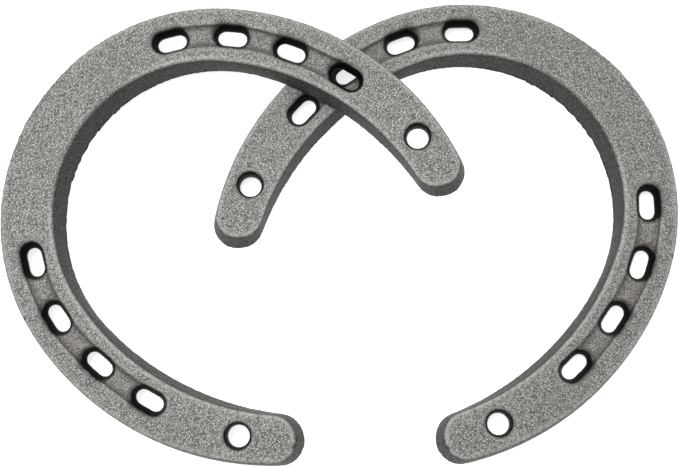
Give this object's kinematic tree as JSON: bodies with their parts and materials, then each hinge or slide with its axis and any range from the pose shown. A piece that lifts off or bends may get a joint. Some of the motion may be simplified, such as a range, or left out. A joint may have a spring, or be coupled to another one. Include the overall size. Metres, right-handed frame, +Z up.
{
  "type": "pair of horseshoes",
  "caption": "Loose flat creased horseshoes, one leaning on the other, with oblong nail slots along each branch and a round hole at each heel.",
  "frame": {"origin": "centre of the pair's bounding box in plan, on the floor that the lower shoe lies on", "axes": "+Z up, away from the floor, with the creased ground side of both shoes upwards; +X along the longer side of the pair, from the upper shoe to the lower one; +Y across, towards the toes"},
  "size_m": [0.2184, 0.1512, 0.0183],
  "materials": {
    "cast_steel": "bare steel with a fine sand-blasted grain, worn brighter along its edges"
  },
  "bodies": {
    "lower_shoe": {"lower_shoe": "cast_steel"},
    "upper_shoe": {"upper_shoe": "cast_steel"}
  },
  "joints": [
    {"name": "upper_shoe_lift", "type": "slide", "parent": "lower_shoe", "child": "upper_shoe", "axis": [0, 0, 1], "range_m": [0, 0.05]}
  ]
}
